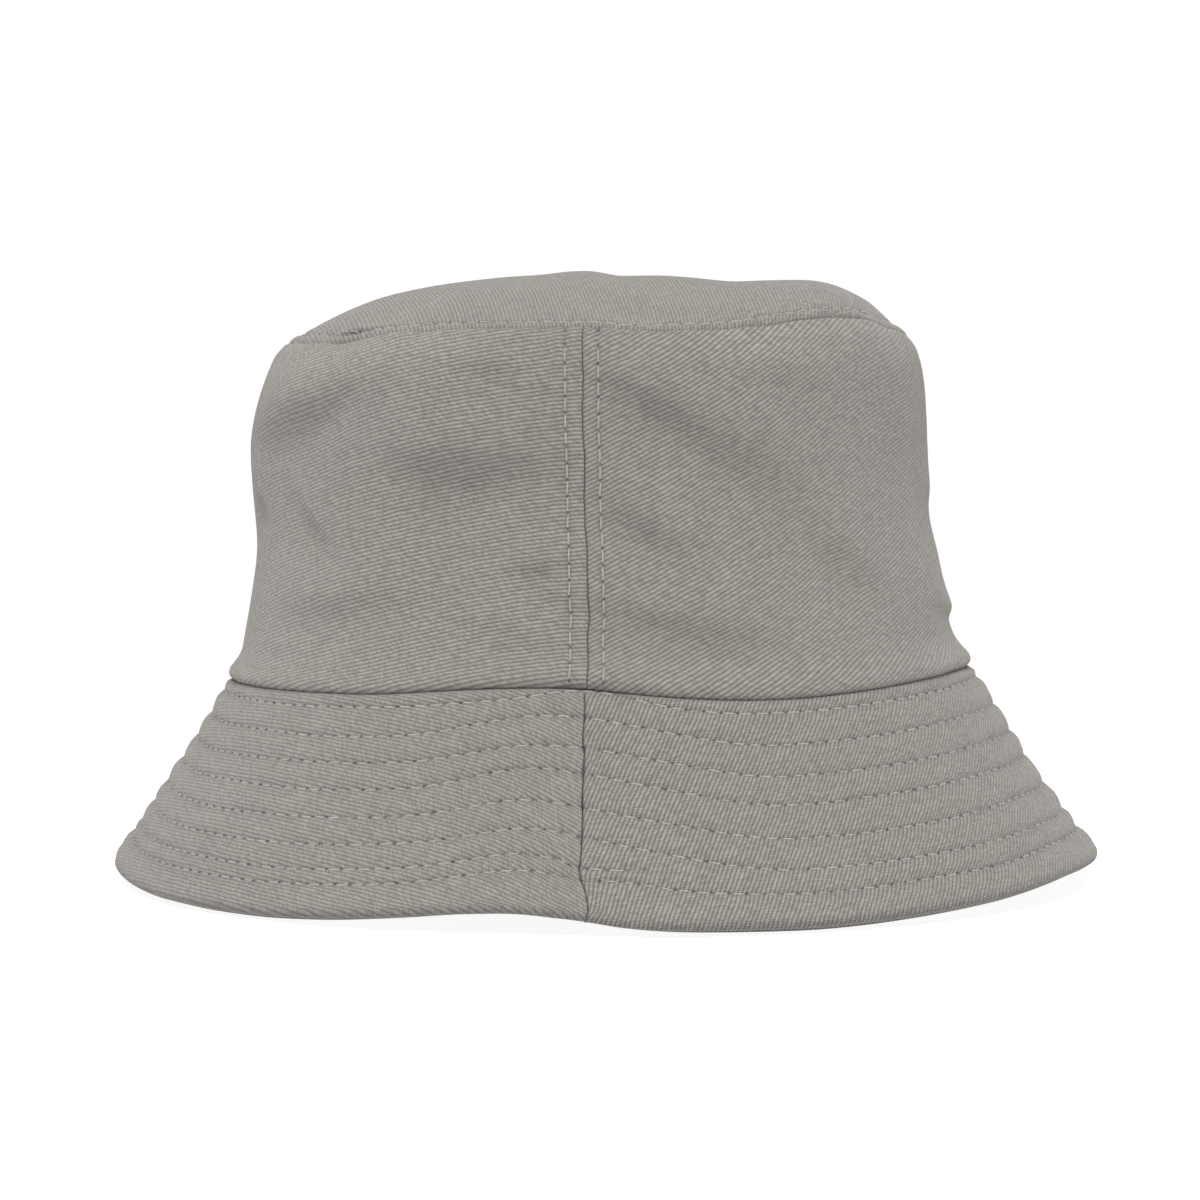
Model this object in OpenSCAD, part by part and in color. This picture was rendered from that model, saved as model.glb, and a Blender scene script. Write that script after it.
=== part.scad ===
// Cotton twill bucket hat, head size about 58 cm, sewn from flat-cut panels.
// +Z is up and +X is the front of the hat. The origin is on the plane of the brim's rim, under the
// middle of the hat. The side seams are at the right side (-Y) and the left side (+Y).
// Every round piece is a profile in the plane of length and height, turned about Z and then narrowed
// across the head, so that each horizontal section is the oval of a head.

/* [Crown] */
// Length of the crown at its base, front to back
crown_length = 196; // [184:1:208]
// Breadth of the crown at its base, side to side
crown_breadth = 172; // [162:1:184]
// Height of the crown from the brim seam to the top seam
crown_height = 90; // [75:1:100]
// Length of the crown at the top seam, front to back
top_length = 164; // [150:1:176]
// How far the shoulder of the crown stands out from a straight cone
shoulder = 4; // [0:0.5:6]
// Rise of the top panel above its seam
dome_rise = 16; // [8:1:24]

/* [Brim] */
// Length over the brim, front to back
brim_length = 260; // [240:1:280]
// Height of the brim seam above the rim
brim_drop = 54; // [40:1:60]
// Distance from the brim seam to the topstitching that joins brim and crown
join_stitch = 4; // [3:0.5:6]
// Distance from the brim seam to the first quilting row
first_row = 9; // [8:0.5:14]
// Distance between the quilting rows
row_pitch = 7.2; // [6:0.1:8]
// Number of quilting rows
row_count = 7; // [5:1:7]

/* [Cloth and thread] */
// Thickness of the twill
cloth = 0.7; // [0.5:0.05:0.9]
// Thickness of the brim's interlining
interlining = 0.8; // [0.5:0.05:1.2]
// Thickness of the seam tape
tape = 0.5; // [0.3:0.05:0.6]
// Width of the seam tape on the side seams
tape_width = 14; // [10:1:16]
// Width of the seam allowances
allowance = 8; // [6:0.5:10]
// Thickness of the sewing thread
thread = 0.4; // [0.3:0.05:0.5]
// Distance from the side seam to each of its topstitching rows
side_stitch = 4; // [3:0.5:5]
// Distance from the top seam to the topstitching on the top panel
top_stitch = 3.5; // [3:0.5:5]

/* [Sweatband and label] */
// Height of the sweatband
band_height = 34; // [28:1:38]
// Thickness of the sweatband, two layers
band_cloth = 1; // [0.8:0.1:1.4]
// Height of the care label
label_height = 30; // [20:1:32]
// Width of the care label
label_width = 24; // [16:1:26]
// Thickness of the care label
label_cloth = 0.4; // [0.3:0.1:0.6]

/* [Hidden] */
$fn = 120;

twill_grey = "#9d978f";
under_grey = "#948e86";
canvas_white = "#d8d5cd";
tape_grey = "#8d8780";
thread_grey = "#aaa49b";
label_white = "#e9e7e1";

narrow = crown_breadth / crown_length;
base_r = crown_length / 2;
top_r = top_length / 2;
rim_r = brim_length / 2;
seam_z = brim_drop;
top_z = brim_drop + crown_height;
rest_gap = 0.05;
rim_fold = 4;
label_clear = 0.8;
seam_gap_deg = 0.08;
outside = 400;
front = 0;
back = 180;
right = -90;
left = 90;

// The crown's outer face, where t runs from 0 at the brim seam to 1 at the top seam. The shoulder
// term is largest, and equal to shoulder, at five sixths of the height.
shoulder_peak = pow(5 / 6, 5) / 6;
crown_steps = 10;
function crown_r(t) = base_r - (base_r - top_r) * t + shoulder * pow(t, 5) * (1 - t) / shoulder_peak;
crown_path = [for (i = [0 : crown_steps])
    let (t = i / crown_steps) [crown_r(t), seam_z + crown_height * t]];

// The top panel's outer face, from the seam to just past the middle
dome_steps = 9;
dome_power = 2.5;
function dome_z(r) = top_z + dome_rise * (1 - pow(abs(r) / top_r, dome_power));
dome_path = [for (i = [0 : dome_steps + 1])
    let (r = top_r * (1 - i / dome_steps)) [r, dome_z(r)]];

// The brim's outer face, from just below the rim up to the seam and on up inside the crown
tuck = cloth + rest_gap;
brim_seam = [base_r - tuck, seam_z];
brim_down = ([rim_r, 0] - brim_seam) / norm([rim_r, 0] - brim_seam);
brim_path = [[rim_r, 0] + rim_fold * brim_down, brim_seam,
    [crown_r(allowance / crown_height) - tuck, seam_z + allowance]];
function brim_point(distance) = brim_seam + distance * brim_down;

// Depths of the layers below the brim's outer face
under_top = cloth + interlining + 2 * rest_gap;
brim_depth = under_top + cloth;

// Depth of the sweatband below the crown's outer face, inside the turned-up allowances
band_depth = tuck + brim_depth + rest_gap;

// Offsetting a path to its left, which is towards the inside of the hat
function left_of(v) = [-v[1], v[0]] / norm(v);
function side(p, i) = left_of(p[i + 1] - p[i]);
function mitre(m, n) = (m + n) / (1 + m * n);
function normal(p, i) = i == 0 ? side(p, 0)
    : i == len(p) - 1 ? side(p, i - 1)
    : mitre(side(p, i - 1), side(p, i));
function shifted(p, d) = [for (i = [0 : len(p) - 1]) p[i] + d * normal(p, i)];
function reversed(p) = [for (i = [len(p) - 1 : -1 : 0]) p[i]];

// A layer of cloth between two depths below a path
module layer(path, from, to) {
    polygon(concat(shifted(path, from), reversed(shifted(path, to))));
}

// The part of a profile between two heights
module between(low, high) {
    intersection() {
        children();
        translate([0, low]) square([outside, high - low]);
    }
}

// Turns a profile about Z, through an angle centred on a direction, and narrows it to the oval
module sector(centre, angle) {
    scale([1, narrow, 1])
        rotate([0, 0, centre - angle / 2])
            rotate_extrude(angle = angle) children();
}

// Half of the hat, from one side seam to the other
module half(centre) {
    sector(centre, 180 - seam_gap_deg) children();
}

// The brim's halves run on below the rim, and are cut off level so that the hat rests on a flat edge
module rest_cut() {
    intersection() {
        children();
        translate([-outside, -outside, 0]) cube([2 * outside, 2 * outside, outside]);
    }
}

// All the way round
module ring() {
    for (centre = [front, back])
        sector(centre, 180) children();
}

// The section of one row of thread that lies beside a point on a profile
module thread_row(point, way) {
    translate(point + way * (thread / 2 + rest_gap)) circle(d = thread, $fn = 8);
}

// ---- Crown ----

module crown_panel(centre) {
    color(twill_grey) half(centre)
        between(seam_z, top_z) layer(crown_path, 0, cloth);
}

module crown_panel_front() { crown_panel(front); }
module crown_panel_back() { crown_panel(back); }

// The oval top, with its seam allowance turned down inside the crown
module top_panel() {
    color(twill_grey) ring() {
        between(top_z + rest_gap, top_z + dome_rise) layer(dome_path, 0, cloth);
        between(top_z - allowance, top_z + cloth) layer(crown_path, tuck, tuck + cloth);
        translate([top_r - tuck - cloth, top_z - cloth]) square([cloth - rest_gap, 1.5 * cloth]);
    }
}

module top_seam_tape() {
    color(tape_grey) ring()
        between(top_z - allowance - 2, top_z - 2)
            layer(crown_path, 2 * tuck, 2 * tuck + tape);
}

// The tape runs up inside the crown from the brim's turned-up allowance to the top one
module side_seam_tape(centre) {
    tape_deg = 2 * asin(tape_width / crown_length);
    color(tape_grey) sector(centre, tape_deg)
        between(seam_z + allowance + 0.5, top_z - allowance - 2.5)
            layer(crown_path, tuck, tuck + tape);
}

module side_seam_tape_right() { side_seam_tape(right); }
module side_seam_tape_left() { side_seam_tape(left); }

// ---- Brim ----

module brim_upper(centre) {
    color(twill_grey) rest_cut() half(centre) {
        layer(brim_path, 0, cloth);
        between(-outside, rim_fold) layer(brim_path, 0, brim_depth / 2);
    }
}

module brim_upper_front() { brim_upper(front); }
module brim_upper_back() { brim_upper(back); }

module brim_under(centre) {
    color(under_grey) rest_cut() half(centre) {
        layer(brim_path, under_top, brim_depth);
        between(-outside, rim_fold) layer(brim_path, brim_depth / 2 + rest_gap, brim_depth);
    }
}

module brim_under_front() { brim_under(front); }
module brim_under_back() { brim_under(back); }

module brim_interlining(centre) {
    color(canvas_white) half(centre)
        between(rim_fold + 0.5, seam_z - 1)
            layer(brim_path, cloth + rest_gap, cloth + rest_gap + interlining);
}

module brim_interlining_front() { brim_interlining(front); }
module brim_interlining_back() { brim_interlining(back); }

// ---- Sweatband and label ----

module sweatband() {
    color(under_grey) ring()
        between(seam_z, seam_z + band_height)
            layer(crown_path, band_depth, band_depth + band_cloth);
}

// The label hangs from the top hem of the sweatband at the back of the head
label_top_z = seam_z + band_height - 1;
label_t = (label_top_z - seam_z) / crown_height;
label_sag = base_r * (1 - sqrt(1 - pow(label_width / 2 / (base_r * narrow), 2)));
label_x = -(crown_r(label_t) - band_depth - band_cloth - thread - label_sag - label_clear);

module care_label() {
    color(label_white)
        translate([label_x, -label_width / 2, label_top_z - label_height])
            cube([label_cloth, label_width, label_height]);
}

// ---- Stitching ----

brim_inward = side(brim_path, 0);
function row_distance(i) = first_row + i * row_pitch;

module brim_quilting_thread() {
    color(thread_grey) ring()
        for (i = [0 : row_count - 1])
            thread_row(brim_point(row_distance(i)), -brim_inward);
}

module brim_bobbin_thread() {
    color(thread_grey) ring()
        for (i = [0 : row_count - 1])
            thread_row(brim_point(row_distance(i)) + brim_depth * brim_inward, brim_inward);
}

module brim_join_topstitch() {
    color(thread_grey) ring() thread_row(brim_point(join_stitch), -brim_inward);
}

module top_panel_topstitch() {
    color(thread_grey) ring()
        thread_row([top_r - top_stitch, dome_z(top_r - top_stitch)], -normal(dome_path, 1));
}

// A pair of rows up the crown, one on each side of a side seam
module side_seam_topstitch(centre) {
    offset_deg = asin(side_stitch / base_r);
    thread_deg = asin(thread / base_r);
    color(thread_grey)
        for (s = [-1, 1])
            sector(centre + s * offset_deg, thread_deg)
                between(seam_z, top_z) layer(crown_path, -thread - rest_gap, -rest_gap);
}

module side_seam_topstitch_right() { side_seam_topstitch(right); }
module side_seam_topstitch_left() { side_seam_topstitch(left); }

module sweatband_hem_stitch() {
    hem_t = (band_height - 4) / crown_height;
    color(thread_grey) ring()
        thread_row([crown_r(hem_t) - band_depth - band_cloth - 0.05, seam_z + band_height - 4], [-1, 0]);
}

top_panel();
crown_panel_front();
crown_panel_back();
brim_upper_front();
brim_upper_back();
brim_interlining_front();
brim_interlining_back();
brim_under_front();
brim_under_back();
sweatband();
top_seam_tape();
side_seam_tape_right();
side_seam_tape_left();
brim_quilting_thread();
brim_bobbin_thread();
brim_join_topstitch();
top_panel_topstitch();
side_seam_topstitch_right();
side_seam_topstitch_left();
sweatband_hem_stitch();
care_label();
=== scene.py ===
"""A cotton twill bucket hat, standing on its brim, seen at its side seam.

The cloth pieces are sheets with a thickness, made from formulas for the crown, the top panel and the
brim. Lengths in the formulas are millimetres, and angles are degrees round the hat from the side seam
that faces the camera (-Y), positive towards the front of the hat (+X).
"""

import math
from functools import partial

import bmesh
import bpy
import numpy as np
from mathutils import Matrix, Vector


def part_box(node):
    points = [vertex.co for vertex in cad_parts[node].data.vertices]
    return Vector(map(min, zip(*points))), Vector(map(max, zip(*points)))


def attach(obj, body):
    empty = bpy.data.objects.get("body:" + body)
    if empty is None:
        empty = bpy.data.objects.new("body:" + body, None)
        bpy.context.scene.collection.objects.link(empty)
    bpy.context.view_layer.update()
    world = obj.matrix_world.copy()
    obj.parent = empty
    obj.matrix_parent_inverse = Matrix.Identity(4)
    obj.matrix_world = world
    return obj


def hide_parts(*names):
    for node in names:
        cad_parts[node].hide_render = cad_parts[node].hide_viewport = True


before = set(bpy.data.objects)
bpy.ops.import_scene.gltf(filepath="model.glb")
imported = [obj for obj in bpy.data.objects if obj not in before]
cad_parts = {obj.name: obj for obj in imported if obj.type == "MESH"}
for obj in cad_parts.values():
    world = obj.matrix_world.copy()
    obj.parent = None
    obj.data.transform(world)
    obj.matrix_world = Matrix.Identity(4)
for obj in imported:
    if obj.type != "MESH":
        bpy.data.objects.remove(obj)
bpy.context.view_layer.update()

MM = 0.001

# ---- Camera ----


def aim_camera(target, distance, turn, elevation, lens):
    """A camera that looks at a point from an angle round the hat and above level."""
    turn, elevation = math.radians(turn), math.radians(elevation)
    level = math.cos(elevation)
    away = Vector((math.sin(turn) * level, -math.cos(turn) * level, math.sin(elevation)))
    data = bpy.data.cameras.new("camera")
    data.lens = lens
    data.sensor_width = 36
    data.clip_start = 0.05
    camera = bpy.data.objects.new("camera", data)
    bpy.context.scene.collection.objects.link(camera)
    camera.location = Vector(target) + distance * away
    camera.rotation_euler = (-away).to_track_quat("-Z", "Y").to_euler()
    bpy.context.scene.camera = camera


aim_camera(target=(-0.0004, 0, 0.0735), distance=1.0, turn=2.3, elevation=3.5, lens=112.5)

# ---- Sizes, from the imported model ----


def box_mm(node):
    low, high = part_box(node)
    return np.array(low) / MM, np.array(high) / MM


crown_low, crown_high = box_mm("crown_panel_front")
BASE_R = crown_high[0]
NARROW = crown_high[1] / crown_high[0]
SEAM_Z = crown_low[2]
TOP_Z = crown_high[2]
HEIGHT = TOP_Z - SEAM_Z
DOME = box_mm("top_panel")[1][2] - TOP_Z
RIM_R = box_mm("brim_upper_front")[1][0]
BAND_TOP = box_mm("sweatband")[1][2]
TAPE_LOW = box_mm("side_seam_tape_right")[0][2]
TAPE_HIGH = box_mm("side_seam_tape_right")[1][2]
TOP_TAPE_LOW = box_mm("top_seam_tape")[0][2]
TOP_R = 82.0
SHOULDER = 4.0
CLOTH = 0.7
BRIM_WIDTH = 60.5
BRIM_DEPTH = 2.3
TAPE_WIDTH = 14.0
# Stitch lengths: in most rows, beside the side seams, and along the sweatband's hems
PITCH = 4.3
SIDE_PITCH = 4.15
HEM_PITCH = 3.4

# ---- Small mathematical helpers ----


def step(x, low, high):
    """0 below low, 1 above high, smooth between; high may be below low."""
    x = np.clip((x - low) / (high - low), 0, 1)
    return x * x * (3 - 2 * x)


def bell(x, width):
    return np.exp(-((x / width) ** 2))


def mix(a, b, share):
    return a + (b - a) * share


def wave(points, blur):
    """A smooth function of the angle round the hat that passes near (angle, value) points."""
    angles, values = zip(*points)
    grid = np.arange(-180, 180, 0.5)
    table = np.interp(grid, angles, values, period=360)
    kernel = bell((grid + 360) % 360 - 180, blur)
    table = np.fft.ifft(np.fft.fft(table) * np.fft.fft(kernel / kernel.sum())).real
    return lambda a: np.interp(a, grid, table, period=360)


def noise(x, y, seed):
    """Smooth noise from -1 to 1, with features one unit across."""
    table = np.random.default_rng(seed).uniform(-1, 1, (256, 256))
    x, y = np.broadcast_arrays(x, y)
    ix, iy = np.floor(x).astype(int), np.floor(y).astype(int)
    fx, fy = x - ix, y - iy
    fx, fy = fx * fx * (3 - 2 * fx), fy * fy * (3 - 2 * fy)
    row = [mix(table[ix % 256, (iy + j) % 256], table[(ix + 1) % 256, (iy + j) % 256], fx) for j in (0, 1)]
    return mix(row[0], row[1], fy)


def unit(v):
    return v / np.linalg.norm(v, axis=-1, keepdims=True)


# Arc length along the oval of the brim seam, from the near side seam
ANGLES = np.linspace(-180, 180, 2881)
_speed = BASE_R * np.hypot(np.cos(np.radians(ANGLES)), NARROW * np.sin(np.radians(ANGLES)))
_lengths = (_speed[1:] + _speed[:-1]) / 2
_arcs = np.concatenate([[0], np.cumsum(_lengths) * math.radians(ANGLES[1] - ANGLES[0])])
ARCS = _arcs - _arcs[-1] / 2
HALF = ARCS[-1]


def arc(a):
    return np.interp(a, ANGLES, ARCS)


def angle_at(s):
    return np.interp(s, ARCS, ANGLES)


def arc_from(a, centre):
    """Arc length from the angle centre to a, the shorter way round."""
    return (arc(a) - arc(centre) + HALF) % (2 * HALF) - HALF


def uneven(s, size, other, seed):
    """Noise round the hat at arc lengths s, which fades at the far side seam, where its ends meet."""
    return noise(s / size, other, seed) * step(HALF - np.abs(s), 0, size)


def oval(radius, a, z, shift):
    """A point on the oval of a half-length, at an angle."""
    a = np.radians(a)
    x, y = radius * np.sin(a) + shift, -radius * NARROW * np.cos(a)
    return np.stack(np.broadcast_arrays(x, y, z), axis=-1)


def surface(base, a, v, side=1):
    """The points of a smooth surface and their outward normals."""
    across = base(a + 0.04, v) - base(a - 0.04, v)
    along = base(a, v + 0.05) - base(a, v - 0.05)
    return base(a, v), unit(side * np.cross(across, along))


def raised(point, normal, height):
    """The points of a surface, moved out along their normals by a height."""
    return point + np.asarray(height)[..., None] * normal


# ---- The hat's soft shape: how far its seams and rim wander from level, and the folds in its crown ----

seam_lift = wave(
    [(-180, 0), (-120, -0.8), (-90, -1.2), (-52, -0.5), (-33, 0.2), (-16, 2.6), (-3, 3.3),
     (8, 1.3), (20, -0.3), (32, -0.5), (44, 0.5), (56, 1.8), (75, 3.1), (92, 2.4), (120, 1), (150, 0)],
    5,
)
top_lift = wave(
    [(-180, 0.5), (-120, -0.5), (-90, -2.0), (-62, -1.9), (-50, -2.2), (-42, -0.1), (-30, 1.0),
     (0, 1.6), (12, 0.7), (24, 1.1), (34, 2.4), (42, 4.1), (52, 5.0), (61, 4.1), (70, 1.8),
     (90, 0.1), (120, 0), (150, 0.5)],
    4,
)
rim_lift = wave(
    [(-180, 1.5), (-150, 2.2), (-120, 1.6), (-90, 3.8), (-74, 1.9), (-61, 0.3), (-50, -0.2),
     (-39, -0.1), (-30, 0.8), (-22, 2.1), (-14, 3.7), (-8, 4.3), (-1, 2.5), (4, 0.7), (10, 0.2),
     (17, 0.1), (25, 0), (33, 0.5), (43, 1.6), (54, 3.0), (67, 5.1), (88, 5.2), (120, 2.2),
     (150, 0.6)],
    2.5,
)

CROWN_SHIFT = -0.5
TOP_SHIFT = -1.1
SLIMMED = 0.043

# Soft folds, where the cloth above the line stands out over the cloth below it: the angle and height
# of the middle, the line's slope in degrees, and its half-length, sharpness, reach and depth
FOLDS = [
    (-54, 126, 14, 26, 6.0, 12, 7.4),
    (-17, 134, -8, 14, 5.0, 10, 4.6),
    (-20, 110, -4, 20, 6.5, 14, 7.6),
    (-50, 97, -36, 15, 3.0, 8, 3.0),
    (-74, 104, -30, 8, 3.5, 7, 2.6),
    (-42, 76, 3, 24, 6.0, 11, 4.6),
    (-7, 84, 6, 9, 3.0, 7, 3.8),
    (-5, 77, -30, 8, 3.0, 6, 1.8),
    (-12, 68, -18, 14, 4.0, 7, 2.4),
    (11, 126, -27, 17, 6.0, 13, 7.0),
    (25, 113, -30, 18, 9.0, 16, 5.6),
    (20, 137, -16, 18, 5.0, 9, 2.2),
    (34, 131, -15, 14, 5.0, 9, 1.6),
    (10, 94, -31, 14, 5.5, 11, 5.4),
    (13, 72, -8, 26, 6.0, 11, 5.4),
    (44, 86, -40, 14, 6.0, 11, 4.6),
    (84, 69, -6, 20, 2.0, 6, 1.8),
    (88, 100, 0, 22, 6.0, 12, 1.6),
    (112, 118, 14, 22, 5.0, 12, 4.4),
    (145, 92, -22, 20, 5.5, 12, 5.0),
    (-112, 98, -16, 24, 5.5, 12, 5.0),
    (-152, 118, 10, 20, 5.5, 12, 4.4),
    (-142, 76, 24, 16, 5.0, 10, 3.2),
    (172, 108, -30, 14, 5.5, 12, 4.2),
]


def seam_wander(s, up):
    """Sideways wander of the cloth beside the near side seam."""
    return (0.34 * noise(up / 6, 0, 44) + 0.14 * noise(up / 2.5, 0, 45)) * bell(s, 5)


def slimmer(a):
    """How much narrower the crown's top is across the hat than the crown's base."""
    return 1 - SLIMMED * np.cos(np.radians(a)) ** 2


def crown_radius(a, t):
    up = t * HEIGHT
    shoulder = np.abs(t) ** 5 * (1 - t) / ((5 / 6) ** 5 / 6)
    r = BASE_R - (BASE_R - TOP_R) * t + SHOULDER * shoulder - TOP_R * (1 - slimmer(a)) * np.abs(t) ** 4
    waist = step(up, 3, 9) * step(up, 60, 35)
    side = np.sin(np.radians(a))
    lean = np.maximum(side, 0) * (0.9 * bell(up - 78, 11) + 0.7 * step(up, 2, 12) * step(up, 88, 76))
    return r - 1.4 * waist - 2.4 * side * bell(up - 60, 19) - lean


def folds(a, up):
    """How far soft folds and the cloth's slight unevenness push the crown in or out."""
    s = arc(a)
    total = 0.7 * uneven(s, 37, up / 26, 1) + 0.28 * uneven(s, 15, up / 11, 2)
    for centre, z, turn, length, sharp, reach, depth in FOLDS:
        off, rise = arc_from(a, centre), up + SEAM_Z - z
        c, q = math.cos(math.radians(turn)), math.sin(math.radians(turn))
        along, across = off * c + rise * q, rise * c - off * q
        ledge = np.tanh(across / sharp) * np.exp(-np.abs(across) / reach)
        total = total + depth * bell(along, length) * ledge
    return total * step(up, 0, 10) * step(up, HEIGHT, HEIGHT - 9)


def crown_base(a, t, soft=1.0):
    """The crown's outer face without seams and stitching; t is 0 at the brim and 1 at the top."""
    z = mix(SEAM_Z + seam_lift(a), TOP_Z + top_lift(a), t)
    radius = crown_radius(a, t) + soft * folds(a, t * HEIGHT)
    lean = mix(0.6, -0.8, step(t, 0.1, 1)) * bell(arc(a), 18) + seam_wander(arc(a), t * HEIGHT)
    return oval(radius, a, z, mix(CROWN_SHIFT, TOP_SHIFT, t) + lean)


def lining_base(a, t):
    """The crown without its folds, which the sweatband inside doesn't follow."""
    return crown_base(a, t, soft=0.0)


# Distances of the rows of topstitching from the side seams and from the top seam
LEFT_STITCH = 4.4
RIGHT_STITCH = 3.8
TOP_STITCH = 3.4


def seam_distance(a, radius):
    """Distance round the hat from the nearer side seam, negative on the back half of the hat."""
    s = arc(a)
    return np.where(np.abs(s) > HALF / 2, np.sign(s) * HALF - s, s) * radius / BASE_R


def side_row_distance(d):
    """Distance from the row of topstitching beside a side seam."""
    return np.where(d < 0, -d - LEFT_STITCH, d - RIGHT_STITCH)


def side_row_run(t):
    """Distance up a row of side topstitching, with its lowest needle hole just above the brim."""
    return t * HEIGHT + 2.2


def top_seam_depth(a):
    """The top seam is a shallow line, but the top panel overhangs it in two places."""
    return 0.5 + 1.1 * bell(a - 45, 12) + 1.7 * bell(a + 51, 3.5) + 0.2 * uneven(arc(a), 13, 0, 41)


def crown_relief(a, t):
    """Seams, stitching and puckers on the crown, outwards from its smooth face."""
    up, s = t * HEIGHT, arc(a)
    under_top = HEIGHT - up
    d = seam_distance(a, crown_radius(a, t))
    near = np.abs(d)
    h = 0.4 * step(near, 9, 6.5) - 0.6 * bell(near, 0.24) - 0.4 * bell(side_row_distance(d), 0.7)
    h = h + 0.16 * uneven(s, 6, up / 2.3, 3) * step(near, 7, 3)
    h = h + 0.10 * uneven(s, 9, up / 2.6, 4) * step(near, 14, 5)
    h = h - top_seam_depth(a) * bell(under_top, 0.5) + 0.3 * bell(under_top - 3.5, 2.6)
    h = h + 0.28 * uneven(s, 4.5, under_top / 6, 5) * bell(under_top, 6)
    lip = 0.95 * bell(up - 2.2, 2.2) - 1.2 * bell(up, 0.6)
    lip = lip + (1.4 * bell(up - 5, 3) - 0.8 * bell(up, 1.8)) * bell(a - 5, 20)
    pucker = 0.2 * uneven(s, 6, up / 8, 6) * bell(up - 3, 5)
    return h * step(up, 0, 2) + lip + pucker


def top_base(a, d):
    """The top panel's outer face; d is the distance in from its seam, along the hat's length."""
    q = 1 - d / TOP_R
    r = q * TOP_R * slimmer(a)
    inner = step(q, 1, 0.88)
    x, y = r * np.sin(np.radians(a)), -r * NARROW * np.cos(np.radians(a))
    z = TOP_Z + top_lift(a) * np.abs(q) ** 3 + DOME * (1 - np.abs(q) ** 2.5)
    z = z + 5.5 * bell(x - 62, 17) * bell(y + 6, 42) * inner
    z = z - 0.4 * bell(x - 36, 9) * bell(y + 6, 42) * inner
    z = z + 1.0 * bell(x + 60, 16) * bell(y + 4, 42) * inner - 0.6 * bell(x + 22, 20) * bell(y, 50)
    z = z + 1.1 * bell(x + 4, 8) * bell(y - 12, 40) - 0.6 * bell(x - 6, 6) * bell(y - 12, 40)
    z = z + (0.7 * noise(x / 30, y / 24, 7) + 0.22 * noise(x / 11, y / 9, 8)) * inner
    return oval(r, a, z, TOP_SHIFT)


def top_row(a):
    """Distance of the top panel's row of topstitching from its seam."""
    return TOP_STITCH + 0.25 * uneven(arc(a), 17, 0, 42) - 2.0 * bell(a - 9.5, 4)


def top_relief(a, d):
    s = arc(a)
    h = 0.3 * bell(d - 1.7, 1.1) - 0.65 * top_seam_depth(a) * bell(d, 0.45)
    h = h - 0.35 * bell(d - top_row(a), 0.7) + 0.6 * bell(a + 50, 8) * bell(d - 3.6, 2.8)
    h = h + 0.6 * bell(a - 45, 12) * bell(d - 1.2, 1.4)
    crease = d - 2.6 - 0.12 * (a + 51)
    h = h + (1.1 * bell(crease - 1.4, 1.1) - 1.7 * bell(crease, 0.5)) * bell(a + 51, 4.5)
    return h + 0.24 * uneven(s, 4.2, d / 5, 9) * bell(d - 2, 5)


# ---- The brim's rows of stitching ----

# Row 0 is a ring near the rim; rows 1 to 6 are one thread that spirals from there to the crown, so each
# row that reaches the near seam from the right goes on to its left as the next one. row_edge is a
# distance in from the rim, and a row's place is its distance down from the crown.

ROWS = range(7)
LEFT_EDGE = [8.5, 12.7, 19.1, 26.5, 34.0, 41.5, 49.0]
RIGHT_EDGE = [8.4, 14.5, 23.0, 31.9, 39.9, 48.3, 55.4]
SEAM_EDGE = [10.2, 13.5, 21.2, 29.0, 38.0, 45.0, 53.2, 56.8]
NEAR_RISE = [1.2, 2.3, 1.4, 1.1, 0.8, 0.2, 0.0]
START_ARC = 12.5
LAST_ANGLE = 108.0
ROW_PHASE = 2.657
JOIN_PHASE = 1.1


def row_edge(n, a):
    s = arc(a)
    wander = 0.3 * uneven(s, 23, n * 3.7, 12) * (1 - bell(s, 14))
    far = np.where(a < 0, np.clip((-90 - a) / 180, 0, 0.5), np.clip((270 - a) / 180, 0.5, 1))
    e = mix(LEFT_EDGE[n], RIGHT_EDGE[n], far)
    left = mix(e, SEAM_EDGE[n], step(s, -42, -8)) + NEAR_RISE[n] * bell(s + 12, 12) * step(s, 0, -6)
    right = mix(e, SEAM_EDGE[n + (n > 0)], step(s, 44, 0))
    right = right + 1.2 * (n == 0) * bell(s - 8, 8) * step(s, 0, 6)
    return np.where(a < 0, left, right) + wander


def start_edge(a):
    """The first stitches of the spiral, to the right of the near seam."""
    return mix(SEAM_EDGE[1], 14.7, step(arc(a), 0, START_ARC))


def row_place(a, n):
    return BRIM_WIDTH - row_edge(n, a)


def start_place(a):
    return BRIM_WIDTH - start_edge(a)


def join_place(a):
    """The topstitching that joins brim and crown, as a distance down from the crown."""
    s = arc(a)
    return 3.5 - 3.6 * bell(s - 2, 17) + 0.2 * uneven(s, 21, 0, 43) * step(np.abs(s), 8, 30)


def row_run(s, w, phase):
    """Distance along a row, which says where its needle holes are."""
    return s * (1 + w / BRIM_WIDTH * (RIM_R / BASE_R - 1)) + phase


def row_phase(n, a):
    """Each row has needle holes of its own. A row keeps its holes where it becomes the next one."""
    return np.where(a < 0, n, n + (n > 0)) * ROW_PHASE


def brim_rows(a):
    """Each row's place down from the crown, its phase, and where it exists."""
    rows = [(join_place(a), JOIN_PHASE, np.ones_like(a, dtype=bool))]
    for n in ROWS:
        gone = (a > 0) & (a < LAST_ANGLE) & (n == ROWS[-1])
        rows.append((row_place(a, n), row_phase(n, a), ~gone))
    begun = (a >= 0) & (arc(a) < START_ARC)
    rows.append((start_place(a), row_phase(1, -1.0), begun))
    return rows


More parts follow.
